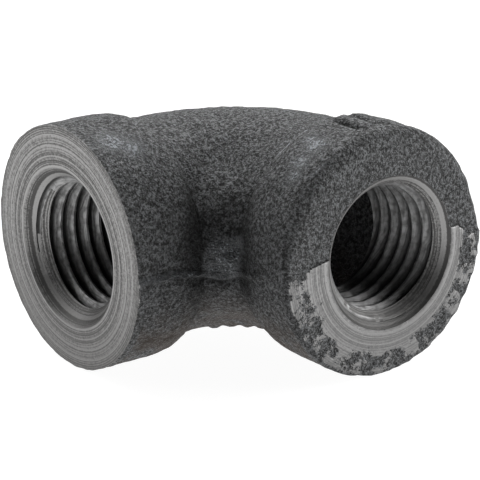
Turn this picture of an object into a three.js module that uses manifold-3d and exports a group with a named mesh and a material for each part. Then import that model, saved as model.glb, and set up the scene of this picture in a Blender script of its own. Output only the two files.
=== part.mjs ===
// A 90 degree pipe elbow, nominal size 1/4: one malleable iron casting with a female taper pipe thread in each
// of its two sockets. Millimetres, +Z up. It lies on its side: one socket opens to -X, the other to -Y, and the
// origin is the bottom centre of its bounding box.
//
// Everything is drawn first about the point where the two bore axes cross. What belongs to a socket is drawn
// along +Y, with its height as the distance from that point, and is then turned to face -X or -Y.

import * as THREE from "three";
import { mergeVertices } from "three/addons/utils/BufferGeometryUtils.js";
import Module from "manifold-3d";

// ---- Driving dimensions ----
const CENTRE_TO_END = 20.57; // from the crossing of the axes to each end face
const BAND_RADIUS = 11.43; // the thick collar round each socket
const BAND_WIDTH = 4.6; // its length at full radius, from the end face
const CROWN_LENGTH = 2.75; // from there, rounding over to half its height above the body
const FOOT_LENGTH = 1.4; // from there, running out on the body
const END_EDGES = { west: 0.5, south: 0.9 }; // rounding of each collar's outer edge at its end face
const BODY_RADIUS = 10.26; // outside of the pipe between the collars
const BACK_BEND_RADIUS = 9.9; // centre line of the bend that forms the outside of the turn
const THROAT_FILLET = 6.6; // rounding in the inside corner, seen along Z
const THROAT_HALF_HEIGHT = 8.2; // of the metal that fills that corner, which is flatter than the pipe
const WATERWAY_RADIUS = 6.9; // the cast passage between the threads

const PITCH = 25.4 / 18; // 18 threads per inch
const PITCH_RADIUS = 12.487 / 2; // at the end face
const TAPER = 1 / 32; // loss of radius for each millimetre of depth
const CREST_FLAT = 0.12 * PITCH;
const ROOT_FLAT = 0.08 * PITCH;
const THREAD_DEPTH_FROM_END = 9.2; // where the thread gives way to the cast passage
const COUNTERSINK_RADII = { west: 7.5, south: 7.16 }; // at the end face
const BORE_SHIFTS = { west: 0, south: 0.5 }; // how far each machined bore lies to one side of its collar's centre

// Casting marks: plain raised bars in a row, two on top of the south collar and four under the bend.
const MARK_ROOT = 1.6; // how far a bar reaches into the metal
const COLLAR_MARKS = { bars: 2, spacing: 1.9, width: 1.2, length: 4.2, height: 0.2, start: 14.5, turned: 0.05 };
const BEND_MARKS = { bars: 4, spacing: 2.33, width: 1.3, length: 3, height: 0.25, middle: 0.78, tilt: 0.26 };

// ---- Facets ----
const ROUND_SEGMENTS = 48;
const THREAD_SEGMENTS = 32;
const SWEEP_STEPS = 18;
const CURVE_STEPS = 4;

const QUARTER = Math.PI / 2;
const THROAT_BEND_RADIUS = BODY_RADIUS + THROAT_FILLET;
const FULL_V_HEIGHT = PITCH * Math.cos(Math.PI / 6); // of a sharp 60 degree thread
const TURN_OF = { west: QUARTER, south: 2 * QUARTER }; // about Z, from +Y

const wasm = await Module();
wasm.setup();

// ---- Solids ----

// A closed three.js geometry as a solid that can be joined and cut.
function solid(geometry) {
  const bare = (geometry.index ? geometry.toNonIndexed() : geometry).clone();
  bare.deleteAttribute("normal");
  bare.deleteAttribute("uv");
  const merged = mergeVertices(bare, 1e-4);
  return new wasm.Manifold(
    new wasm.Mesh({
      numProp: 3,
      vertProperties: merged.attributes.position.array,
      triVerts: new Uint32Array(merged.index.array),
    }),
  );
}

// The solid's surface as a three.js geometry.
function geometryOf(made) {
  const mesh = made.getMesh();
  const geometry = new THREE.BufferGeometry();
  geometry.setAttribute("position", new THREE.BufferAttribute(mesh.vertProperties, 3));
  geometry.setIndex(new THREE.BufferAttribute(mesh.triVerts, 1));
  geometry.computeVertexNormals();
  return geometry;
}

const joined = (solids) => solids.reduce((whole, next) => whole.add(next));

// ---- The outside ----

// A socket: the straight pipe beyond the bend, and the collar whose shoulder runs down into it.
function socket(side) {
  const endEdge = END_EDGES[side];
  const shoulder = CENTRE_TO_END - BAND_WIDTH;
  const waist = shoulder - CROWN_LENGTH;
  const outline = new THREE.Path()
    .moveTo(0, BACK_BEND_RADIUS)
    .lineTo(BODY_RADIUS, BACK_BEND_RADIUS)
    .lineTo(BODY_RADIUS, waist - FOOT_LENGTH)
    .quadraticCurveTo(BODY_RADIUS, waist, (BODY_RADIUS + BAND_RADIUS) / 2, waist)
    .quadraticCurveTo(BAND_RADIUS, waist, BAND_RADIUS, shoulder)
    .lineTo(BAND_RADIUS, CENTRE_TO_END - endEdge)
    .quadraticCurveTo(BAND_RADIUS, CENTRE_TO_END, BAND_RADIUS - endEdge, CENTRE_TO_END)
    .lineTo(0, CENTRE_TO_END);
  return new THREE.LatheGeometry(outline.getPoints(CURVE_STEPS), ROUND_SEGMENTS);
}

// The line from one end to the other: straight, round a quarter turn, and straight again.
function elbowLine(bendRadius, reach) {
  const line = new THREE.CurvePath();
  const points = { start: new THREE.Vector3(-reach, 0, 0), end: new THREE.Vector3(0, -reach, 0) };
  const bendStart = new THREE.Vector3(-bendRadius, 0, 0);
  const bendEnd = new THREE.Vector3(0, -bendRadius, 0);
  line.add(new THREE.LineCurve3(points.start, bendStart));
  line.add(new QuarterTurn(bendRadius));
  line.add(new THREE.LineCurve3(bendEnd, points.end));
  return line;
}

// The quarter circle that leaves the X axis at -radius and reaches the Y axis at -radius.
class QuarterTurn extends THREE.Curve {
  constructor(radius) {
    super();
    this.radius = radius;
  }
  getPoint(share, target = new THREE.Vector3()) {
    const turned = share * QUARTER;
    return target.set(this.radius * (Math.sin(turned) - 1), this.radius * (Math.cos(turned) - 1), 0);
  }
}

// A bar along that line: round, unless a half height is given to make its section an ellipse.
function elbowTube(tubeRadius, bendRadius, reach, halfHeight = tubeRadius) {
  const section = new THREE.Shape();
  section.absellipse(0, 0, halfHeight, tubeRadius, 0, 2 * Math.PI);
  return new THREE.ExtrudeGeometry(section, {
    steps: SWEEP_STEPS,
    extrudePath: elbowLine(bendRadius, reach),
    curveSegments: ROUND_SEGMENTS / 2,
  });
}

// The outside of the turn: a quarter of a ring as thick as the body, cut off at its own axis.
function backOfBend() {
  const half = Math.acos(-BACK_BEND_RADIUS / BODY_RADIUS);
  const steps = ROUND_SEGMENTS / 2;
  const outline = Array.from({ length: steps + 1 }, (_, i) => {
    const angle = half * ((2 * i) / steps - 1);
    const across = BACK_BEND_RADIUS + BODY_RADIUS * Math.cos(angle);
    return new THREE.Vector2(i % steps ? across : 0, BODY_RADIUS * Math.sin(angle));
  });
  const ring = solid(new THREE.LatheGeometry(outline, ROUND_SEGMENTS).rotateX(QUARTER));
  const room = 4 * BODY_RADIUS;
  const corner = solid(new THREE.BoxGeometry(room, room, room).translate(room / 2, room / 2, 0));
  return ring.intersect(corner).translate([-BACK_BEND_RADIUS, -BACK_BEND_RADIUS, 0]);
}

// A mark's bar, drawn along +Y, standing on a level surface at height zero.
function markBar({ width, length, height }) {
  const bar = new THREE.BoxGeometry(width, length, height + MARK_ROOT);
  return bar.translate(0, 0, (height - MARK_ROOT) / 2);
}

// How far each bar of a row lies from the row's middle.
const rowOffsets = ({ bars, spacing }) => Array.from({ length: bars }, (_, i) => (i - (bars - 1) / 2) * spacing);

// The row round the top of the south collar, its bars along the pipe.
function collarMarks() {
  const { start, length, turned } = COLLAR_MARKS;
  return rowOffsets(COLLAR_MARKS).map((offset) => {
    const bar = markBar(COLLAR_MARKS).translate(0, -start - length / 2, BAND_RADIUS);
    return solid(bar.rotateY(turned + offset / BAND_RADIUS));
  });
}

// The row along the underside of the bend, its bars across the pipe.
function bendMarks() {
  const { middle, tilt } = BEND_MARKS;
  return rowOffsets(BEND_MARKS).map((offset) => {
    const bar = markBar(BEND_MARKS).translate(0, 0, BODY_RADIUS).rotateX(2 * QUARTER + tilt);
    bar.translate(0, BACK_BEND_RADIUS, 0).rotateZ(middle - QUARTER + offset / BACK_BEND_RADIUS);
    return solid(bar.translate(-BACK_BEND_RADIUS, -BACK_BEND_RADIUS, 0));
  });
}

// ---- The inside ----

// How far the thread's surface lies from the bore's axis: points of one turn, as heights and radii.
function threadTurn() {
  const flank = (PITCH - CREST_FLAT - ROOT_FLAT) / 2;
  const crest = PITCH_RADIUS - FULL_V_HEIGHT / 2 + CREST_FLAT * Math.cos(Math.PI / 6);
  const root = PITCH_RADIUS + FULL_V_HEIGHT / 2 - ROOT_FLAT * Math.cos(Math.PI / 6);
  return [
    { height: 0, radius: crest },
    { height: CREST_FLAT, radius: crest },
    { height: CREST_FLAT + flank, radius: root },
    { height: CREST_FLAT + flank + ROOT_FLAT, radius: root },
  ];
}

// The shape that a taper tap leaves: a tapered core with a right-hand 60 degree ridge wound round it. Its first
// and last turns are plain, and reach past the end face and into the cast passage.
function threadTool() {
  const turn = threadTurn();
  const crest = turn[0].radius;
  const perTurn = turn.length;
  const bottom = CENTRE_TO_END - THREAD_DEPTH_FROM_END - 2 * PITCH;
  const turns = Math.ceil((CENTRE_TO_END - bottom) / PITCH) + 1;
  const rows = perTurn * turns;
  const position = [];
  const at = [];
  const addVertex = (x, y, z) => position.push(x, y, z) / 3 - 1;

  for (let i = 0; i < THREAD_SEGMENTS; i++) {
    const angle = (2 * Math.PI * i) / THREAD_SEGMENTS;
    const last = i === 0 ? rows + perTurn : rows;
    at.push([]);
    for (let j = 0; j <= last; j++) {
      const point = turn[j % perTurn];
      const plain = j <= perTurn || j >= rows;
      const rise = Math.floor(j / perTurn) * PITCH + point.height + (PITCH * i) / THREAD_SEGMENTS;
      const height = bottom + rise;
      const radius = (plain ? crest : point.radius) - TAPER * (CENTRE_TO_END - height);
      at[i].push(addVertex(radius * Math.sin(angle), height, radius * Math.cos(angle)));
    }
  }

  const faces = [];
  const vertex = (i, j) => (i < THREAD_SEGMENTS ? at[i][j] : at[0][j + perTurn]);
  for (let i = 0; i < THREAD_SEGMENTS; i++) {
    for (let j = 0; j < rows; j++) {
      const [a, b, c, d] = [vertex(i, j), vertex(i + 1, j), vertex(i + 1, j + 1), vertex(i, j + 1)];
      faces.push(a, b, c, a, c, d);
    }
  }

  // Each end is closed by a fan from a point on the axis.
  const ends = [
    { rim: (i) => vertex(i, 0), step: at[0].slice(0, perTurn + 1), height: bottom - PITCH, flip: true },
    { rim: (i) => vertex(i, rows), step: at[0].slice(rows), height: bottom + (turns + 2) * PITCH },
  ];
  for (const { rim, step, height, flip } of ends) {
    const tip = addVertex(0, height, 0);
    const loop = Array.from({ length: THREAD_SEGMENTS }, (_, i) => rim(i)).concat(step.slice(1).reverse());
    loop.forEach((here, i) => {
      const next = loop[(i + 1) % loop.length];
      faces.push(...(flip ? [here, tip, next] : [here, next, tip]));
    });
  }

  const geometry = new THREE.BufferGeometry();
  geometry.setAttribute("position", new THREE.BufferAttribute(new Float32Array(position), 3));
  geometry.setIndex(faces);
  return geometry;
}

// The 45 degree cone at a socket's mouth, carried a little past the end face.
function countersink(mouthRadius) {
  const past = 1;
  const outline = [
    new THREE.Vector2(0, CENTRE_TO_END - mouthRadius),
    new THREE.Vector2(mouthRadius + past, CENTRE_TO_END + past),
    new THREE.Vector2(0, CENTRE_TO_END + past),
  ];
  return new THREE.LatheGeometry(outline, ROUND_SEGMENTS);
}

// ---- The casting ----

function elbowCasting() {
  const turned = (geometry, side) => solid(geometry.rotateZ(TURN_OF[side]));
  const machined = (geometry, side) => turned(geometry.translate(-BORE_SHIFTS[side], 0, 0), side);
  const sides = Object.keys(TURN_OF);
  const outside = joined([
    solid(elbowTube(BODY_RADIUS - 0.05, THROAT_BEND_RADIUS, CENTRE_TO_END - 1, THROAT_HALF_HEIGHT)),
    backOfBend(),
    ...sides.map((side) => turned(socket(side), side)),
    ...collarMarks(),
    ...bendMarks(),
  ]);
  const inside = joined([
    solid(elbowTube(WATERWAY_RADIUS, BACK_BEND_RADIUS, CENTRE_TO_END - THREAD_DEPTH_FROM_END)),
    ...sides.map((side) => machined(threadTool(), side)),
    ...sides.map((side) => machined(countersink(COUNTERSINK_RADII[side]), side)),
  ]);
  return outside.subtract(inside);
}

const blackIron = new THREE.MeshStandardMaterial({ color: 0x4a4b4d, roughness: 0.62, metalness: 0.55 });
const casting = new THREE.Mesh(geometryOf(elbowCasting()), blackIron);
casting.name = "elbow_casting";

// The bounding box runs from -CENTRE_TO_END to +BAND_RADIUS along X and Y, and down to -BAND_RADIUS.
const toBoxCentre = (CENTRE_TO_END - BAND_RADIUS) / 2;
casting.position.set(toBoxCentre, toBoxCentre, BAND_RADIUS);

const elbow = new THREE.Group();
elbow.name = "pipe_elbow";
elbow.add(casting);

export default elbow;
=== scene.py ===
# The looks of a small cast iron pipe elbow: rough black skin, and bare metal where the sockets are faced,
# countersunk and threaded. The casting is modelled as a foundry makes it. A rough blank comes first, with its
# mould's parting line, and is then cut by the facing planes and by the taper taps.
import itertools
import math

import bmesh
import bpy
import numpy as np
from mathutils import Matrix, Vector


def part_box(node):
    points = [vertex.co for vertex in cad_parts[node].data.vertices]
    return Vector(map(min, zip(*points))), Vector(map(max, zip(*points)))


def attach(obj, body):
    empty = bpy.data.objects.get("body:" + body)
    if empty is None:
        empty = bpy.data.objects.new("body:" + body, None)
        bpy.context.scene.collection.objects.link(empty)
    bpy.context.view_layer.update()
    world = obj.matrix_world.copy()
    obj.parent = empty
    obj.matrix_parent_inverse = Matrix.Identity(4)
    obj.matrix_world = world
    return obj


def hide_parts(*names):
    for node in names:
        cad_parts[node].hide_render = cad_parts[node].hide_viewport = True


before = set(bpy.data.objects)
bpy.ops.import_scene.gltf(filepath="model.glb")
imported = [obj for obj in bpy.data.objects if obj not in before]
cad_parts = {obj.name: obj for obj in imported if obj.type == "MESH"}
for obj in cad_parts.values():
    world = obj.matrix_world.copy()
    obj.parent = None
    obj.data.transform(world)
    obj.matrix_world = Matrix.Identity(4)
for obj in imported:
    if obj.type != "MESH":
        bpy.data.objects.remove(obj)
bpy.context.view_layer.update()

# ---- The casting's dimensions, in millimetres ----
BAND_RADIUS = 11.43
BAND_WIDTH = 4.6
CROWN_LENGTH = 2.75
FOOT_LENGTH = 1.4
BODY_RADIUS = 10.26
BACK_BEND_RADIUS = 9.9
THROAT_BEND_RADIUS = 16.86
THROAT_HALF_HEIGHT = 8.2
WATERWAY_RADIUS = 6.9

PITCH = 25.4 / 18
PITCH_RADIUS = 12.487 / 2
TAPER = 1 / 32
CREST_FLAT = 0.2 * PITCH
ROOT_FLAT = 0.06 * PITCH
THREAD_DEPTH_FROM_END = 9.2
MOUTH_RADII = {"west": 7.5, "south": 7.16}
BORE_SHIFTS = {"west": 0.0, "south": 0.5}

# Plain raised bars in rows: on the south collar, and under the bend where they stand across the pipe.
COLLAR_MARKS = {
    "offsets": (-0.95, 0.95),
    "length": 4.2,
    "width": 1.2,
    "height": 0.25,
    "middle": 16.6,
    "turned": 0.05,
}
BEND_MARKS = {
    "offsets": (-3.5, -1.17, 1.17, 3.5),
    "length": 3,
    "width": 1.3,
    "height": 0.25,
    "middle": 0.78,
    "tilt": 0.26,
}
MARK_CREVICE = {"aside": 0.85, "length": 3.4, "width": 0.3, "depth": 0.24}

# The cast grain's octaves, as (width of a lump, height).
GRAIN_OCTAVES = [(5.0, 0.05), (2.2, 0.035), (1.1, 0.045), (0.6, 0.055)]

# Where the mould halves met, and the stub of metal in the inside corner.
PARTING_HEIGHT = -0.35
PARTING_DIP = 1.15
CORNER = -12.2
BEADS = [(-11.4, -15.6, -0.6), (-11.4, -16.5, -0.75), (-11.4, -17.2, -0.4), (-11.4, -18.3, -0.2)]

# Rubbed patches, as (centre, spread, amount), and scratches, as (start, end).
RUBBED_PATCHES = [
    ((-5.0, -16.9, 10.3), 1.3, 0.46),
    ((-4.6, -15.6, 10.5), 0.9, 0.44),
    ((-6.9, -17.1, 9.1), 1.2, 0.42),
    ((-8.0, -17.5, 8.1), 1.0, 0.38),
    ((-18.0, -4.6, 10.5), 1.8, 0.41),
    ((-16.8, -5.6, 9.9), 1.6, 0.39),
]
SCRATCHES = [
    ((-6.57, -13.49, 8.94), (-3.32, -13.61, 10.64)),
    ((-7.51, -19.48, 8.61), (-5.76, -19.86, 9.87)),
]

# The frame says where the axes cross and how far each end face lies from there.
MM = 0.001
low, high = (Vector(corner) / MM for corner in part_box("elbow_casting"))
CROSSING = np.array([high.x - BAND_RADIUS, high.y - BAND_RADIUS, low.z + BAND_RADIUS])
CENTRE_TO_END = float(CROSSING[0] - low.x)

# ---- How finely it is modelled ----
SKIN_STEP = 0.25
FACE_STEP = 0.3
THREAD_SEGMENTS = 96
MOUTH_SEGMENTS = 128
WATERWAY_RINGS = 48
WATERWAY_SEGMENTS = 64

# The elbow's material slots.
SKIN, END_WEST, END_SOUTH, CONE_WEST, CONE_SOUTH, THREAD_WEST, THREAD_SOUTH, CORED = range(8)


# ---- Numbers ----

def smoothstep(start, end, value):
    share = np.clip((value - start) / (end - start), 0, 1)
    return share * share * (3 - 2 * share)


def smooth_union(a, b, reach):
    share = np.clip(0.5 + 0.5 * (b - a) / reach, 0, 1)
    return b + (a - b) * share - reach * share * (1 - share)


# Turns the noise's lattice away from the part's own axes.
NOISE_TURN = np.array(
    Matrix.Rotation(0.9, 3, "X") @ Matrix.Rotation(0.6, 3, "Z") @ Matrix.Rotation(0.4, 3, "Y")
)


def noise(points, cell, seed):
    """Smooth random numbers from -1 to 1, with lumps about one cell wide."""
    side = 64
    lattice = np.random.default_rng(seed).uniform(-1, 1, (side, side, side))
    scaled = points @ NOISE_TURN.T / cell + side / 2
    base = np.floor(scaled).astype(int)
    part = scaled - base
    fade = part * part * (3 - 2 * part)
    total = np.zeros(len(points))
    for corner in itertools.product((0, 1), repeat=3):
        share = np.prod(np.where(corner, fade, 1 - fade), axis=1)
        i, j, k = ((base + corner) % side).T
        total += share * lattice[i, j, k]
    return total


def blob(points, centre, spread):
    """1 at a centre, falling to 0 about two spreads away."""
    away = (points - np.array(centre)) / spread
    return np.exp(-np.sum(away * away, axis=1))


def near_line(points, start, end, spread):
    """The same for all of a straight line."""
    start, run = np.array(start), np.array(end) - np.array(start)
    share = np.clip((points - start) @ run / (run @ run), 0, 1)
    away = (points - start - share[:, None] * run) / spread
    return np.exp(-np.sum(away * away, axis=1))


# ---- The rough blank, as distances from its surface ----

def swept_pipe(points, bend_radius, half_height=BODY_RADIUS):
    """Distance from a bar in along X, round a quarter turn, and out along Y. It may be flattened."""
    x, y, z = points.T
    squash = half_height / BODY_RADIUS
    to_arc = np.abs(np.hypot(x + bend_radius, y + bend_radius) - bend_radius)
    in_bend = (x >= -bend_radius) & (y >= -bend_radius)
    to_west = np.where(x < -bend_radius, np.abs(y), np.inf)
    to_south = np.where(y < -bend_radius, np.abs(x), np.inf)
    flat = np.where(in_bend, to_arc, np.minimum(to_west, to_south))
    return (np.hypot(flat, z / squash) - BODY_RADIUS) * squash


def along_and_round(points, side):
    """For a socket: how far out along its axis, how far off its axis, and how far sideways."""
    x, y, z = points.T
    along, sideways = (-x, y) if side == "west" else (-y, x)
    return along, np.hypot(sideways, z), sideways


def end_edge(points, side):
    """How far the collar's outer edge is rounded. It is softest round the upper half of the south end."""
    return 0.5 if side == "west" else 0.5 + 0.9 * smoothstep(-1, 4, points[:, 2])


def collar(points, side, end):
    """Distance from a socket's collar, whose shoulder rounds over and runs out on the body."""
    along, radius, _ = along_and_round(points, side)
    edge = end_edge(points, side)
    shoulder = CENTRE_TO_END - BAND_WIDTH
    waist = shoulder - CROWN_LENGTH
    half_step = (BAND_RADIUS - BODY_RADIUS) / 2
    over = np.clip((shoulder - along) / CROWN_LENGTH, 0, 1)
    crown = BAND_RADIUS - half_step * (1 - np.sqrt(1 - over * over))
    under = np.clip((along - waist + FOOT_LENGTH) / FOOT_LENGTH, 0, 1)
    foot = BODY_RADIUS + half_step * (1 - np.sqrt(1 - under * under))
    outline = np.where(along < waist, foot, crown)
    off_side, off_end = radius - outline, along - end
    corner = np.hypot(np.maximum(off_side + edge, 0), np.maximum(off_end + edge, 0)) - edge
    block = np.minimum(np.maximum(off_side + edge, off_end + edge), 0) + corner
    return np.maximum(block, waist - FOOT_LENGTH - 1 - along)


def blank_end(points, side):
    """How far out the blank's end face stands. The facing cut takes off what passes the finished end."""
    if side == "west":
        return CENTRE_TO_END + 0.35
    _, radius, _ = along_and_round(points, side)
    parting = 0.5 - 0.35 * (radius - 8.6) + 0.4 * noise(points, 1.5, 21) + 0.3 * noise(points, 0.7, 22)
    lower = smoothstep(parting + 0.12, parting - 0.12, points[:, 2])
    outer = smoothstep(8.5, 9.5, radius)
    hollow = 0.15 - 0.03 * smoothstep(10.4, 11.2, radius)
    patchy = 0.08 * noise(points, 1.0, 23) + 0.12 * noise(points, 0.55, 24)
    return CENTRE_TO_END - 0.16 + lower * (0.28 - outer * (hollow - patchy))


def blank(points):
    throat = swept_pipe(points, THROAT_BEND_RADIUS, THROAT_HALF_HEIGHT)
    body = smooth_union(swept_pipe(points, BACK_BEND_RADIUS), throat, 0.6)
    ends = np.maximum(-points[:, 0] - CENTRE_TO_END + 1, -points[:, 1] - CENTRE_TO_END + 1)
    body = np.maximum(body, ends)
    collars = [collar(points, side, blank_end(points, side)) for side in ("west", "south")]
    return smooth_union(body, np.minimum(*collars), 0.25)


# ---- What the mould leaves on it, as heights above that surface ----

def parting_height(points):
    """Where the mould halves met: almost level, but lower where it rounds the inside corner."""
    return PARTING_HEIGHT - PARTING_DIP * from_corner(points, 2.8)


def from_corner(points, reach):
    """1 at the middle of the inside corner, falling to 0 about two reaches away along the surface."""
    x, y, _ = points.T
    return np.exp(-((np.hypot(x - CORNER, y - CORNER) / reach) ** 2))


def mould_relief(points):
    """A step where the lower half of the mould had slipped outward, a thin fin in the corner, and lumps."""
    x, y, z = points.T
    above = z - parting_height(points)
    inner = smoothstep(-3, -9, np.maximum(x, y))
    west = inner * (0.25 + 0.75 * smoothstep(-13, -15, x))
    corner = from_corner(points, 2.5)
    uneven = 0.8 + 0.4 * noise(points, 0.9, 31)
    slip = 0.34 * smoothstep(0.14, -0.2, above) * smoothstep(-7, -0.5, above) * west
    undercut = 0.12 * np.exp(-(((above - 0.4) / 0.3) ** 2)) * west
    fin = 0.5 * np.exp(-((above / 0.28) ** 2)) * corner
    scoop = 0.3 * np.exp(-(((above + 0.65) / 0.4) ** 2)) * corner
    beads = sum(0.28 * blob(points, bead, 0.4) for bead in BEADS)
    return (slip + fin) * uneven - undercut - scoop + beads


def throat_spot(points):
    """1 over the stub of metal in the inside corner, 0 elsewhere."""
    x, y, z = points.T
    across = (x - y) / math.sqrt(2) - 0.35
    ragged = 0.5 * noise(points, 1.0, 43)
    tall = smoothstep(-1.6, -0.9, z) * smoothstep(3.2, 1.0, z + 1.2 * ragged)
    return smoothstep(2.3, 0.8, np.abs(across) + 1.2 * ragged) * tall * (np.maximum(x, y) < -9)


def throat_relief(points):
    """That stub, broken off in small uneven ledges."""
    ledges = 1 - np.abs(noise(points * np.array([1, 1, 1.8]), 1.5, 41)) * 2
    return throat_spot(points) * (0.12 + 0.2 * ledges + 0.2 * noise(points, 0.8, 42))


def bar(along, across, length, width, soft=0.18):
    """A raised bar with soft edges."""
    ends = smoothstep(length / 2 + soft, length / 2 - soft, np.abs(along))
    return ends * smoothstep(width / 2 + soft, width / 2 - soft, np.abs(across))


def casting_marks(points):
    """The plain raised bars, worn and uneven. Each collar bar has a crevice along one side."""
    x, y, z = points.T
    worn = 1 + 0.35 * noise(points, 1.3, 51)
    relief = np.zeros(len(points))
    marks, crevice = COLLAR_MARKS, MARK_CREVICE
    along = y + marks["middle"]
    for offset in marks["offsets"]:
        across = BAND_RADIUS * (np.arctan2(x, z) - marks["turned"]) - offset
        relief += marks["height"] * bar(along, across, marks["length"], marks["width"])
        beside = across + crevice["aside"]
        relief -= crevice["depth"] * bar(along, beside, crevice["length"], crevice["width"])
    marks = BEND_MARKS
    turn = np.arctan2(y + BACK_BEND_RADIUS, x + BACK_BEND_RADIUS)
    out = np.hypot(x + BACK_BEND_RADIUS, y + BACK_BEND_RADIUS) - BACK_BEND_RADIUS
    along = BODY_RADIUS * (np.arctan2(out, -z) + marks["tilt"])
    for offset in marks["offsets"]:
        across = BACK_BEND_RADIUS * (turn - marks["middle"]) - offset
        relief += marks["height"] * bar(along, across, marks["length"], marks["width"], soft=0.5) * (z < 0)
    return worn * relief


def cast_grain(points):
    """Lumps of the moulding sand, from broad waves down to the smallest that this mesh can hold."""
    return sum(height * noise(points, cell, 60 + i) for i, (cell, height) in enumerate(GRAIN_OCTAVES))


def relief_of(points):
    return cast_grain(points) + mould_relief(points) + throat_relief(points) + casting_marks(points)


# ---- Meshes ----

def surface_net(distance, lowest, highest, step):
    """Vertices and quads of the surface where distance is 0."""
    axes = [np.arange(a, b + step, step) for a, b in zip(lowest, highest)]
    grid = np.stack(np.meshgrid(*axes, indexing="ij"), axis=-1)
    value = distance(grid.reshape(-1, 3)).reshape(grid.shape[:3])
    inside = value < 0
    cells = np.array(inside.shape) - 1

    def corner(array, offset):
        i, j, k = offset
        return array[i : i + cells[0], j : j + cells[1], k : k + cells[2]]

    offsets = list(itertools.product((0, 1), repeat=3))
    full = sum(corner(inside, offset).astype(int) for offset in offsets)
    active = (full > 0) & (full < 8)
    number = np.full(active.shape, -1)
    number[active] = np.arange(active.sum())

    total = np.zeros((active.sum(), 3))
    hits = np.zeros(active.sum())
    for a, b in itertools.combinations(offsets, 2):
        if sum(abs(p - q) for p, q in zip(a, b)) != 1:
            continue
        at_a, at_b = corner(value, a)[active], corner(value, b)[active]
        crossed = (at_a < 0) != (at_b < 0)
        share = at_a[crossed] / (at_a[crossed] - at_b[crossed])
        total[crossed] += np.array(a) + share[:, None] * (np.array(b) - np.array(a))
        hits[crossed] += 1
    vertices = np.array(lowest) + step * (np.argwhere(active) + total / hits[:, None])

    quads = []
    for axis in range(3):
        u, w = np.eye(3, dtype=int)[(axis + 1) % 3], np.eye(3, dtype=int)[(axis + 2) % 3]
        lower = np.take(inside, range(cells[axis]), axis)
        upper = np.take(inside, range(1, cells[axis] + 1), axis)
        crossing = np.argwhere(lower != upper)
        ring = [number[tuple((crossing - shift).T)] for shift in (0 * u, u, u + w, w)]
        quad = np.stack(ring, axis=1)
        backwards = upper[tuple(crossing.T)]
        quad[backwards] = quad[backwards][:, ::-1]
        quads.append(quad)
    return vertices, np.concatenate(quads)


def slope(distance, points):
    """The surface's outward direction at each point."""
    reach = 0.03
    steps = np.eye(3) * reach
    gradient = np.stack([distance(points + s) - distance(points - s) for s in steps], axis=1) / (2 * reach)
    return gradient / np.maximum(np.linalg.norm(gradient, axis=1, keepdims=True), 1e-9)


def settled(vertices, quads, distance):
    """The vertices spread evenly over the surface, and lying on it."""
    starts, ends = quads.reshape(-1), np.roll(quads, -1, axis=1).reshape(-1)
    count = np.bincount(starts, minlength=len(vertices))[:, None]
    for _ in range(3):
        total = np.zeros_like(vertices)
        np.add.at(total, starts, vertices[ends])
        vertices = 0.5 * vertices + 0.5 * total / count
        for _ in range(2):
            off = np.clip(distance(vertices), -0.1, 0.1)
            vertices = vertices - off[:, None] * slope(distance, vertices)
    return vertices


def make_object(name, vertices, faces):
    mesh = bpy.data.meshes.new(name)
    mesh.from_pydata(((vertices + CROSSING) * MM).tolist(), [], [list(map(int, f)) for f in faces])
    made = bpy.data.objects.new(name, mesh)
    bpy.context.scene.collection.objects.link(made)
    return made


def rough_casting():
    reach = CENTRE_TO_END + 1
    side = BAND_RADIUS + 1
    vertices, quads = surface_net(blank, (-reach, -reach, -side), (side, side, side), SKIN_STEP)
    vertices = settled(vertices, quads, blank)
    vertices = vertices + slope(blank, vertices) * relief_of(vertices)[:, None]
    vertices[:, 2] = np.maximum(vertices[:, 2], -BAND_RADIUS)  # what the elbow rests on is rubbed level
    return make_object("elbow", vertices, quads)


# ---- Cutters, drawn about the crossing ----

def facing(points, side):
    """Turns points drawn along +Y to a socket's machined axis."""
    x, y, z = points.T
    shift = BORE_SHIFTS[side]
    return np.stack([-y, x + shift, z] if side == "west" else [shift - x, -y, z], axis=1)


def thread_profile():
    """One turn's outline as (height, height above the core), with its corners a little rounded."""
    flank = (PITCH - CREST_FLAT - ROOT_FLAT) / 2
    depth = flank / math.tan(math.radians(30))
    crest_end = CREST_FLAT
    root_start = CREST_FLAT + flank
    root_end = root_start + ROOT_FLAT
    ease = 0.05
    return [
        (ease, 0),
        (crest_end - ease, 0),
        (crest_end + ease * 0.6, 0.09 * depth),
        (crest_end + 0.5 * flank, 0.5 * depth),
        (root_start - ease * 0.6, 0.93 * depth),
        ((root_start + root_end) / 2, depth),
        (root_end + ease * 0.6, 0.93 * depth),
        (root_end + 0.5 * flank, 0.5 * depth),
        (PITCH - ease * 0.6, 0.09 * depth),
    ]


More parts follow.
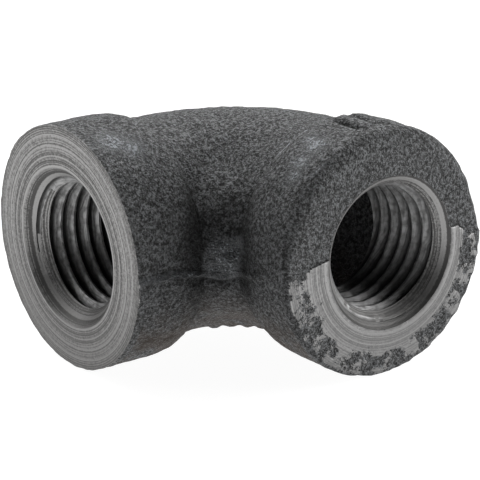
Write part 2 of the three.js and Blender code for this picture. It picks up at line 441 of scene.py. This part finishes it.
def thread_cutter(side):
    """What the taper tap cuts: a core with a right-hand ridge wound round it, closed at both ends."""
    profile = thread_profile()
    per_turn = len(profile)
    depth = max(height for _, height in profile)
    core = PITCH_RADIUS - depth / 2
    bottom = CENTRE_TO_END - THREAD_DEPTH_FROM_END - 2 * PITCH
    turns = math.ceil((CENTRE_TO_END - bottom) / PITCH) + 1
    rows = per_turn * turns

    vertices, columns = [], []
    for i in range(THREAD_SEGMENTS):
        angle = 2 * math.pi * i / THREAD_SEGMENTS
        columns.append([])
        for j in range(rows + per_turn + 1 if i == 0 else rows + 1):
            step, ridge = profile[j % per_turn]
            plain = j < per_turn or j >= rows
            height = bottom + (j // per_turn) * PITCH + step + PITCH * i / THREAD_SEGMENTS
            radius = core + (0 if plain else ridge) - TAPER * (CENTRE_TO_END - height)
            columns[i].append(len(vertices))
            vertices.append((radius * math.sin(angle), height, radius * math.cos(angle)))

    def at(i, j):
        return columns[i][j] if i < THREAD_SEGMENTS else columns[0][j + per_turn]

    faces = []
    for i, j in itertools.product(range(THREAD_SEGMENTS), range(rows)):
        faces.append((at(i, j), at(i + 1, j), at(i + 1, j + 1), at(i, j + 1)))
    first, last = columns[0], [at(i, rows) for i in range(THREAD_SEGMENTS)]
    for loop, height, turned in (
        ([at(i, 0) for i in range(THREAD_SEGMENTS)] + first[1 : per_turn + 1][::-1], bottom - PITCH, True),
        (last + first[rows + 1 :][::-1], bottom + (turns + 2) * PITCH, False),
    ):
        tip = len(vertices)
        vertices.append((0, height, 0))
        for here, after in zip(loop, loop[1:] + loop[:1]):
            faces.append((here, tip, after) if turned else (here, after, tip))

    points = np.array(vertices)
    torn = 0.035 * noise(points, 0.5, 71) + 0.03 * noise(points, 1.6, 72)
    spread = np.hypot(points[:, 0], points[:, 2])
    scale = 1 + np.where(spread > 1, torn / np.maximum(spread, 1), 0)
    points[:, 0] *= scale
    points[:, 2] *= scale
    return make_object("thread_cutter", facing(points, side), faces)


def lathe(outline, segments):
    """A closed turned solid about +Y. Its outline is (radius, height), upward between two axis points."""
    ring = [2 * math.pi * i / segments for i in range(segments)]
    vertices = [(0, outline[0][1], 0), (0, outline[-1][1], 0)]
    for radius, height in outline[1:-1]:
        vertices += [(radius * math.sin(angle), height, radius * math.cos(angle)) for angle in ring]
    faces = []
    rows = len(outline) - 2
    for i in range(segments):
        after = (i + 1) % segments
        faces.append((0, 2 + after, 2 + i))
        faces.append((1, 2 + (rows - 1) * segments + i, 2 + (rows - 1) * segments + after))
        for row in range(rows - 1):
            a, b = 2 + row * segments, 2 + (row + 1) * segments
            faces.append((a + i, a + after, b + after, b + i))
    return np.array(vertices, float), faces


def mouth_cutter(side):
    """The countersink: a 45 degree cone, carried a little past the end face."""
    mouth, past = MOUTH_RADII[side], 1.0
    depths = [2.4, 1.6, 0.8, 0, -past]
    cone = [(mouth - depth, CENTRE_TO_END - depth) for depth in depths]
    outline = [(0, CENTRE_TO_END - mouth), *cone, (0, CENTRE_TO_END + past)]
    vertices, faces = lathe(outline, MOUTH_SEGMENTS)
    return make_object("mouth_cutter", facing(vertices, side), faces)


def end_cutter(side):
    """The space beyond a socket's finished end face: a fine grid there, drawn in to a point far out."""
    half = BAND_RADIUS + 1.5
    count = round(2 * half / FACE_STEP)
    ticks = np.linspace(-half, half, count + 1)
    flat = np.array([(x, CENTRE_TO_END, z) for x in ticks for z in ticks])
    flat[:, 1] += 0.003 * noise(flat, 0.5, 75)
    vertices = np.vstack([flat, [(0, CENTRE_TO_END + 30, 0)]])
    tip = len(flat)

    def at(i, j):
        return i * (count + 1) + j

    faces = [
        (at(i, j), at(i + 1, j), at(i + 1, j + 1), at(i, j + 1))
        for i, j in itertools.product(range(count), repeat=2)
    ]
    for i in range(count):
        faces.append((at(i + 1, 0), at(i, 0), tip))
        faces.append((at(i, count), at(i + 1, count), tip))
        faces.append((at(0, i), at(0, i + 1), tip))
        faces.append((at(count, i + 1), at(count, i), tip))
    return make_object("end_cutter", facing(vertices, side), faces)


def waterway_cutter():
    """The cast passage: a rough tube round the bend, closed by a cap in each socket."""
    straight = CENTRE_TO_END - THREAD_DEPTH_FROM_END - BACK_BEND_RADIUS
    arc = BACK_BEND_RADIUS * math.pi / 2
    vertices = []
    for share in np.linspace(0, 1, WATERWAY_RINGS):
        run = share * (2 * straight + arc) - straight
        turn = np.clip(run / BACK_BEND_RADIUS, 0, math.pi / 2)
        before, after = min(run, 0), max(run - arc, 0)
        centre_x = BACK_BEND_RADIUS * (math.sin(turn) - 1) + before
        centre_y = BACK_BEND_RADIUS * (math.cos(turn) - 1) - after
        for angle in np.arange(WATERWAY_SEGMENTS) * 2 * math.pi / WATERWAY_SEGMENTS:
            out = WATERWAY_RADIUS * math.cos(angle)
            lift = WATERWAY_RADIUS * math.sin(angle)
            vertices.append((centre_x + out * math.sin(turn), centre_y + out * math.cos(turn), lift))
    points = np.array(vertices)
    rough = 1 + 0.012 * noise(points, 1.2, 81)[:, None] + 0.008 * noise(points, 0.6, 82)[:, None]
    centres = points.reshape(WATERWAY_RINGS, WATERWAY_SEGMENTS, 3).mean(axis=1)
    middle = np.repeat(centres, WATERWAY_SEGMENTS, axis=0)
    points = middle + (points - middle) * rough
    faces = []
    for ring, i in itertools.product(range(WATERWAY_RINGS - 1), range(WATERWAY_SEGMENTS)):
        after = (i + 1) % WATERWAY_SEGMENTS
        a, b = ring * WATERWAY_SEGMENTS, (ring + 1) * WATERWAY_SEGMENTS
        faces.append((a + i, a + after, b + after, b + i))
    last = (WATERWAY_RINGS - 1) * WATERWAY_SEGMENTS
    faces.append(tuple(reversed(range(WATERWAY_SEGMENTS))))
    faces.append(tuple(last + i for i in range(WATERWAY_SEGMENTS)))
    return make_object("waterway_cutter", points, faces)


def cut(piece, cutter):
    modifier = piece.modifiers.new("cut", "BOOLEAN")
    modifier.object = cutter
    modifier.operation = "DIFFERENCE"
    modifier.solver = "MANIFOLD"
    graph = bpy.context.evaluated_depsgraph_get()
    result = bpy.data.meshes.new_from_object(piece.evaluated_get(graph))
    piece.modifiers.clear()
    old, piece.data = piece.data, result
    bpy.data.meshes.remove(old)
    bpy.data.objects.remove(cutter)


def make_elbow():
    elbow = rough_casting()
    cut(elbow, waterway_cutter())
    for side in ("west", "south"):
        cut(elbow, end_cutter(side))
        cut(elbow, thread_cutter(side))
        cut(elbow, mouth_cutter(side))
    return elbow


def finish_mesh(piece):
    """Gives every face its material, and every edge that is a real edge a sharp one."""
    mesh = piece.data
    centres = np.empty(len(mesh.polygons) * 3)
    mesh.polygons.foreach_get("center", centres)
    centres = centres.reshape(-1, 3) / MM - CROSSING
    inner = swept_pipe(centres, BACK_BEND_RADIUS) + BODY_RADIUS < WATERWAY_RADIUS + 0.5
    slots = np.where(inner, CORED, SKIN)
    for side, end, cone, threaded in (
        ("west", END_WEST, CONE_WEST, THREAD_WEST),
        ("south", END_SOUTH, CONE_SOUTH, THREAD_SOUTH),
    ):
        along, _, sideways = along_and_round(centres, side)
        radius = np.hypot(sideways - BORE_SHIFTS[side], centres[:, 2])
        depth = CENTRE_TO_END - along
        mouth = MOUTH_RADII[side]
        in_bore = (radius < mouth + 0.04 - np.clip(depth, 0, 0.4)) & (depth < THREAD_DEPTH_FROM_END + 0.2)
        slots[depth < 0.9] = end
        slots[in_bore] = threaded
        slots[in_bore & (np.abs(radius - mouth + depth) < 0.04)] = cone
        slots[np.abs(depth) < 0.01] = end
    mesh.polygons.foreach_set("material_index", slots.astype(np.int32))
    mesh.polygons.foreach_set("use_smooth", np.ones(len(slots), bool))

    shape = bmesh.new()
    shape.from_mesh(mesh)
    for edge in shape.edges:
        one, other = edge.link_faces
        outside = max(one.material_index, other.material_index) <= END_SOUTH
        alike = outside or one.material_index == other.material_index
        edge.smooth = alike and edge.calc_face_angle(0) < math.radians(60 if outside else 38)
    shape.to_mesh(mesh)
    shape.free()


# ---- Materials ----

class Recipe:
    """A material's nodes. Each method adds one and returns the socket that carries its result."""

    def __init__(self, name, **surface):
        self.material = bpy.data.materials.new(name)
        self.material.use_nodes = True
        self.tree = self.material.node_tree
        self.surface = self.tree.nodes["Principled BSDF"]
        self.set(self.surface, surface)

    def set(self, node, values):
        for key, value in values.items():
            socket = node.inputs[key]
            if isinstance(value, bpy.types.NodeSocket):
                self.tree.links.new(value, socket)
            else:
                socket.default_value = value

    def node(self, kind, values, **settings):
        made = self.tree.nodes.new(kind)
        for key, value in settings.items():
            setattr(made, key, value)
        self.set(made, values)
        return made

    def math(self, operation, *values):
        return self.node("ShaderNodeMath", dict(enumerate(values)), operation=operation).outputs[0]

    def vector_math(self, operation, *values):
        return self.node("ShaderNodeVectorMath", dict(enumerate(values)), operation=operation).outputs[0]

    def place(self, centre=CROSSING):
        """Where a point lies from a centre, in millimetres."""
        where = self.tree.nodes.new("ShaderNodeTexCoord").outputs["Object"]
        scaled = self.vector_math("SCALE", where)
        scaled.node.inputs["Scale"].default_value = 1 / MM
        return self.vector_math("SUBTRACT", scaled, tuple(centre))

    def split(self, vector):
        return self.node("ShaderNodeSeparateXYZ", {0: vector}).outputs

    def noise(self, where, size, detail=2.0, roughness=0.5):
        """Lumps about as wide as size, in millimetres."""
        values = {"Vector": where, "Scale": 1 / size, "Detail": detail, "Roughness": roughness}
        return self.node("ShaderNodeTexNoise", values).outputs["Fac"]

    def streaks(self, along, size, detail=3.0):
        """The same, varying along one number only."""
        values = {"W": along, "Scale": 1 / size, "Detail": detail}
        return self.node("ShaderNodeTexNoise", values, noise_dimensions="1D").outputs["Fac"]

    def ramp(self, value, start, end, low=0.0, high=1.0):
        values = {"Value": value, "From Min": start, "From Max": end, "To Min": low, "To Max": high}
        return self.node("ShaderNodeMapRange", values, interpolation_type="SMOOTHSTEP").outputs["Result"]

    def mix(self, share, first, second):
        made = self.node("ShaderNodeMix", {"Factor": share}, data_type="RGBA")
        self.set_by_index(made, {6: first, 7: second})
        return made.outputs[2]

    def blend(self, share, first, second):
        made = self.node("ShaderNodeMix", {"Factor": share}, data_type="FLOAT")
        self.set_by_index(made, {2: first, 3: second})
        return made.outputs[0]

    def painted(self, name):
        """A number that the mesh carries on its vertices."""
        return self.node("ShaderNodeAttribute", {}, attribute_name=name).outputs["Fac"]

    def set_by_index(self, node, values):
        for index, value in values.items():
            socket = node.inputs[index]
            if isinstance(value, bpy.types.NodeSocket):
                self.tree.links.new(value, socket)
            else:
                socket.default_value = value

    def bump(self, height, depth):
        """Raises the surface by depth millimetres where height is 1."""
        values = {"Height": height, "Strength": 1.0, "Distance": depth * MM}
        return self.node("ShaderNodeBump", values).outputs["Normal"]


def grey(value, warmth=0.0):
    return (value * (1 + warmth), value, value * (1 - warmth), 1)


def skin_layer(recipe, shade=1.0, rusty=0.75):
    """Black cast skin: its colour, roughness, and the height of its grain."""
    where = recipe.place()
    coarse, fine = recipe.noise(where, 0.33, 3, 0.6), recipe.noise(where, 0.16, 2, 0.6)
    grain = recipe.math("MULTIPLY_ADD", coarse, 0.55, recipe.math("MULTIPLY", fine, 0.45))
    dark = recipe.mix(recipe.ramp(grain, 0.41, 0.5), grey(0.017 * shade), grey(0.076 * shade, -0.015))
    colour = recipe.mix(recipe.ramp(grain, 0.5, 0.59), dark, grey(0.185 * shade, -0.035))
    height = recipe.split(where)[2]
    browned = recipe.ramp(recipe.noise(where, 2.5), 0.3, 0.55)
    rust = recipe.math("MULTIPLY", recipe.ramp(height, -2, -8, 0.0, rusty), browned)
    colour = recipe.mix(rust, colour, (0.06 * shade, 0.043 * shade, 0.032 * shade, 1))
    # Painted shade: the skin darkens towards black where it is shut in, in the creases.
    colour = recipe.mix(recipe.ramp(recipe.painted("painted_crease_shade"), 0.08, 0.38, 0.0, 0.8), colour, grey(0.004))
    # Painted shade: pits and recesses in the skin are darkened.
    colour = recipe.mix(recipe.ramp(recipe.painted("hollow"), 0.1, 1.0, 0.0, 0.75), colour, grey(0.005))
    rubbing_and_highlight = recipe.painted("rubbing_and_highlight")
    # Rubbed patches are lighter, and so is the painted highlight on the parting line.
    colour = recipe.mix(recipe.ramp(rubbing_and_highlight, 0.02, 0.3, 0.0, 0.6), colour, grey(0.15, -0.04))
    specks = recipe.math("ADD", recipe.noise(where, 0.24, 3, 0.65), rubbing_and_highlight)
    colour = recipe.mix(recipe.ramp(specks, 0.84, 0.95), colour, grey(0.36, -0.06))
    return colour, recipe.ramp(grain, 0.4, 0.65, 0.78, 0.5), grain


def cast_skin(name, shade=1.0):
    recipe = Recipe(name, Metallic=0.3)
    colour, rough, grain = skin_layer(recipe, shade)
    recipe.set(recipe.surface, {"Base Color": colour, "Roughness": rough, "Normal": recipe.bump(grain, 0.95)})
    return recipe.material


def bore_centre(side):
    shift = BORE_SHIFTS[side]
    return CROSSING + (np.array([0, shift, 0]) if side == "west" else np.array([shift, 0, 0]))


def bore_place(recipe, side):
    """Where a point lies in a socket: its place, how deep it is, and how far it is off the bore's axis."""
    where = recipe.place(bore_centre(side))
    x, y, z = recipe.split(where)[:3]
    along, sideways = (x, y) if side == "west" else (y, x)
    depth = recipe.math("ADD", along, CENTRE_TO_END)
    squares = recipe.math("MULTIPLY_ADD", z, z, recipe.math("MULTIPLY", sideways, sideways))
    radius = recipe.math("SQRT", squares)
    return where, depth, radius


def machined_layer(recipe, where, radius):
    """Turned metal: its colour, roughness, and the height of the rings that the tool left."""
    wander = recipe.math("MULTIPLY_ADD", recipe.noise(where, 4.0), 0.3, radius)
    coarse, fine = recipe.streaks(wander, 0.5, 3), recipe.streaks(radius, 0.16, 3)
    speckle = recipe.noise(where, 0.22, 3, 0.7)
    rings = recipe.math("MULTIPLY_ADD", coarse, 0.5, recipe.math("MULTIPLY", fine, 0.5))
    tone = recipe.math("MULTIPLY_ADD", rings, 0.7, recipe.math("MULTIPLY", speckle, 0.3))
    colour = recipe.mix(recipe.ramp(tone, 0.43, 0.57), grey(0.08, 0.02), grey(0.36, 0.01))
    # Painted shade: the bare metal is darker towards the bottom.
    lower_side_shade = recipe.ramp(recipe.split(where)[2], 2, -10, 0.0, 0.5)
    colour = recipe.mix(lower_side_shade, colour, grey(0.1, 0.02))
    return colour, recipe.ramp(speckle, 0.35, 0.65, 0.4, 0.58), tone


def faced_metal(side):
    """A countersink: bare machined metal, with painted shade darkening it towards its lower side."""
    recipe = Recipe("countersunk_" + side, Metallic=0.75)
    where, _, radius = bore_place(recipe, side)
    colour, rough, rings = machined_layer(recipe, where, radius)
    # Painted shade: the countersink darkens towards its lower side, the south one most.
    deepest_lower_shade = 0.35 if side == "west" else 0.85
    colour = recipe.mix(recipe.ramp(recipe.split(where)[2], 0, -7, 0.0, deepest_lower_shade), colour, grey(0.06, 0.02))
    recipe.set(recipe.surface, {"Base Color": colour, "Roughness": rough, "Normal": recipe.bump(rings, 0.06)})
    return recipe.material


def cast_end(side):
    """A socket's end: bare where the cutter reached the metal, and black skin where it did not."""
    recipe = Recipe("faced_" + side)
    where, _, radius = bore_place(recipe, side)
    skin, skin_rough, grain = skin_layer(recipe, shade=0.75, rusty=0.0)
    metal, metal_rough, rings = machined_layer(recipe, where, radius)
    if side == "south":
        metal = recipe.mix(0.4, metal, grey(0.23))
    blotches = recipe.noise(where, 0.3, 4, 0.7)
    ragged = recipe.math("MULTIPLY_ADD", blotches, 0.5, recipe.painted("milled"))
    bare = recipe.ramp(ragged, 0.24, 0.26)
    cast_height = recipe.math("MULTIPLY", grain, 0.5)
    cut_height = recipe.math("MULTIPLY_ADD", rings, 0.08, 0.25)
    relief = recipe.blend(bare, cast_height, cut_height)
    looks = {
        "Base Color": recipe.mix(bare, skin, metal),
        "Roughness": recipe.blend(bare, skin_rough, metal_rough),
        "Metallic": recipe.blend(bare, 0.3, 0.75),
        "Normal": recipe.bump(relief, 1.0),
    }
    recipe.set(recipe.surface, looks)
    return recipe.material


def threaded_metal(side, crest):
    """Tapped thread: bright on its crests, with painted shade darkening its grooves and its lower side, and
    with streaks and mottling.
    """
    recipe = Recipe("thread_" + side, Metallic=0.7)
    where, depth, radius = bore_place(recipe, side)
    pitch_line = recipe.math("MULTIPLY_ADD", depth, -TAPER, PITCH_RADIUS)
    groove = recipe.math("SUBTRACT", radius, pitch_line)
    run = recipe.math("MULTIPLY_ADD", recipe.noise(where, 2.5), 0.3, recipe.math("ADD", radius, depth))
    drag = recipe.streaks(run, 0.09, 2)
    mottle = recipe.noise(where, 0.6, 4, 0.6)
    # Painted shade: the grooves darken towards black.
    colour = recipe.mix(recipe.ramp(groove, -0.05, 0.3), grey(crest), grey(0.02, 0.02))
    colour = recipe.mix(recipe.ramp(mottle, 0.4, 0.7, 0.0, 0.55), colour, grey(0.08, 0.03))
    colour = recipe.mix(recipe.ramp(drag, 0.4, 0.6, 0.0, 0.35), colour, grey(0.04))
    # Painted shade: darker towards the lower side.
    colour = recipe.mix(recipe.ramp(recipe.split(where)[2], -1, -6, 0.0, 0.3), colour, grey(0.06, 0.02))
    rough = recipe.ramp(mottle, 0.3, 0.7, 0.38, 0.58)
    recipe.set(recipe.surface, {"Base Color": colour, "Roughness": rough, "Normal": recipe.bump(drag, 0.05)})
    return recipe.material


def pale_floor():
    """A lit white table: it glows a little, so that the elbow's shadow on it stays faint."""
    recipe = Recipe("studio_floor", **{"Base Color": (0.16, 0.16, 0.16, 1), "Roughness": 0.9})
    recipe.set(recipe.surface, {"Emission Color": (1, 1, 1, 1), "Emission Strength": 0.955})
    return recipe.material


# ---- Wear, and painted shade and highlights ----

def painted_crease_shade_at(points):
    """How shut in each part of the skin is, from 0 in the open to 1. The skin is painted darker where this is
    high, as shade in its creases.
    """
    outward, start = slope(blank, points), blank(points)
    shut = np.zeros(len(points))
    for reach in (1.0, 3.0, 6.0, 12.0):
        shut += np.clip(1 - (blank(points + outward * reach) - start) / reach, 0, 1) / 4
    # Less painted shade over the stub in the inside corner.
    return shut * (1 - 0.8 * throat_spot(points))


def hollow_at(points):
    """How far each point lies below the skin round it, where 1 is a tenth of a millimetre. The skin is
    painted darker there, as shade in its pits and recesses.
    """
    steps = 0.35 * np.vstack([np.eye(3), -np.eye(3)])
    around = sum(relief_of(points + step) for step in steps) / len(steps)
    return np.clip((around - relief_of(points)) / 0.1, -1, 1)


def milled_at(points):
    """How much metal the facing cut took off an end face. It is below 0 where the cut passed over."""
    milled = np.full(len(points), -1.0)
    for side in ("west", "south"):
        along, _, _ = along_and_round(points, side)
        depth = CENTRE_TO_END - along
        beyond = blank_end(points, side) - CENTRE_TO_END + cast_grain(points)
        taken = np.minimum(beyond, 0.05 - blank(points))
        milled = np.where(depth < 0.006, np.maximum(taken, 0), np.maximum(milled, -depth))
    return milled


def parting_highlight(points):
    """1 along the mould's parting line, in the corner and beside it, where its ledge is painted lighter as a
    highlight.
    """
    x, y, _ = points.T
    above = points[:, 2] - parting_height(points)
    west = smoothstep(-13, -15, x) * smoothstep(-3, -9, y)
    return np.exp(-(((above + 0.05) / 0.25) ** 2)) * np.maximum(west, from_corner(points, 2.5))


def rubbing_and_highlight_at(points):
    """Where the black skin has rubbed through: patches, two scratches and the throat; and a painted highlight
    along the parting line.
    """
    marks = [amount * blob(points, centre, spread) for centre, spread, amount in RUBBED_PATCHES]
    marks += [0.6 * near_line(points, start, end, 0.2) for start, end in SCRATCHES]
    marks.append(0.3 * throat_spot(points))
    # Painted highlight along the parting line's ledge.
    marks.append(0.34 * parting_highlight(points))
    return np.max(marks, axis=0)


def paint(piece):
    """Stores these numbers on the mesh, for the materials to read."""
    mesh = piece.data
    points = np.empty(len(mesh.vertices) * 3)
    mesh.vertices.foreach_get("co", points)
    points = points.reshape(-1, 3) / MM - CROSSING
    numbers = {"painted_crease_shade": painted_crease_shade_at, "hollow": hollow_at, "milled": milled_at, "rubbing_and_highlight": rubbing_and_highlight_at}
    for name, measure in numbers.items():
        attribute = mesh.attributes.new(name, "FLOAT", "POINT")
        attribute.data.foreach_set("value", measure(points).astype(np.float32))


# ---- The elbow ----

elbow = make_elbow()
elbow.data.materials.clear()
for material in (
    cast_skin("black_iron_skin"),
    cast_end("west"),
    cast_end("south"),
    faced_metal("west"),
    faced_metal("south"),
    # The west thread's crests are painted lighter than the south's: painted light on the same metal.
    threaded_metal("west", crest=0.42),
    threaded_metal("south", crest=0.27),
    # The waterway's inside is a lighter copy of the skin: painted light in the passage.
    cast_skin("black_iron_waterway", shade=1.3),
):
    elbow.data.materials.append(material)
finish_mesh(elbow)
paint(elbow)
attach(elbow, "root")
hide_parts("elbow_casting")


# ---- Studio ----

FLOOR_SIZE = 6.0
CAMERA_AZIMUTH = math.radians(-36.5)
CAMERA_ELEVATION = math.radians(18.31)
CAMERA_ROLL = math.radians(-1.74)
CAMERA_DISTANCE = 219.5
CAMERA_ASIDE = (-0.7, -3.59)
CAMERA_LENS = 171.8

# Softboxes, as (name, azimuth and elevation in degrees, power in watts), all of one size at one distance.
SOFTBOXES = [
    ("back_softbox", 143.5, 44, 2.25),
    ("back_left_softbox", -171.5, 40, 1.05),
    ("left_softbox", -126.5, 20, 0.68),
    ("right_softbox", 53.5, 20, 2.6),
]
SOFTBOX_DISTANCE = 0.5
SOFTBOX_SIZE = 0.35


def add_floor():
    half = FLOOR_SIZE / 2
    mesh = bpy.data.meshes.new("studio_floor")
    corners = [(-half, -half), (half, -half), (half, half), (-half, half)]
    mesh.from_pydata([(x, y, low.z * MM) for x, y in corners], [], [(0, 1, 2, 3)])
    mesh.materials.append(pale_floor())
    floor = bpy.data.objects.new("studio_floor", mesh)
    bpy.context.scene.collection.objects.link(floor)


def add_camera():
    a, e = CAMERA_AZIMUTH, CAMERA_ELEVATION
    back = Vector((math.sin(a) * math.cos(e), -math.cos(a) * math.cos(e), math.sin(e)))
    right = Vector((math.cos(a), math.sin(a), 0))
    rolled = Matrix.Rotation(CAMERA_ROLL, 3, back)
    right, up = rolled @ right, rolled @ back.cross(right)
    place = CROSSING + np.array(back * CAMERA_DISTANCE + right * CAMERA_ASIDE[0] + up * CAMERA_ASIDE[1])
    data = bpy.data.cameras.new("camera")
    data.lens = CAMERA_LENS
    data.clip_start = 0.01
    camera = bpy.data.objects.new("camera", data)
    pose = Matrix((right, up, back)).transposed().to_4x4()
    camera.matrix_world = Matrix.Translation(Vector(place) * MM) @ pose
    bpy.context.scene.collection.objects.link(camera)
    bpy.context.scene.camera = camera


def add_light(name, azimuth, elevation, power):
    """A square softbox, aimed at the elbow. Azimuth is counted as the camera's is."""
    a, e = math.radians(azimuth), math.radians(elevation)
    away = Vector((math.sin(a) * math.cos(e), -math.cos(a) * math.cos(e), math.sin(e)))
    data = bpy.data.lights.new(name, "AREA")
    data.size = SOFTBOX_SIZE
    data.energy = power
    light = bpy.data.objects.new(name, data)
    light.location = Vector(CROSSING) * MM + away * SOFTBOX_DISTANCE
    light.rotation_euler = away.to_track_quat("Z", "Y").to_euler()
    bpy.context.scene.collection.objects.link(light)


def add_world(horizon, overhead):
    """White walls all round at the level of the table, and a dim ceiling."""
    world = bpy.data.worlds.new("studio")
    world.use_nodes = True
    tree = world.node_tree
    direction = tree.nodes.new("ShaderNodeTexCoord").outputs["Generated"]
    height = tree.nodes.new("ShaderNodeSeparateXYZ")
    tree.links.new(direction, height.inputs[0])
    fade = tree.nodes.new("ShaderNodeMapRange")
    for key, value in {"From Min": 0.1, "From Max": 0.3, "To Min": horizon, "To Max": overhead}.items():
        fade.inputs[key].default_value = value
    tree.links.new(height.outputs["Z"], fade.inputs["Value"])
    tree.links.new(fade.outputs["Result"], tree.nodes["Background"].inputs["Strength"])
    tree.nodes["Background"].inputs["Color"].default_value = (1, 1, 1, 1)
    bpy.context.scene.world = world


add_floor()
add_camera()
add_world(horizon=0.33, overhead=0.0)
for softbox in SOFTBOXES:
    add_light(*softbox)
bpy.context.scene.view_settings.view_transform = "Standard"
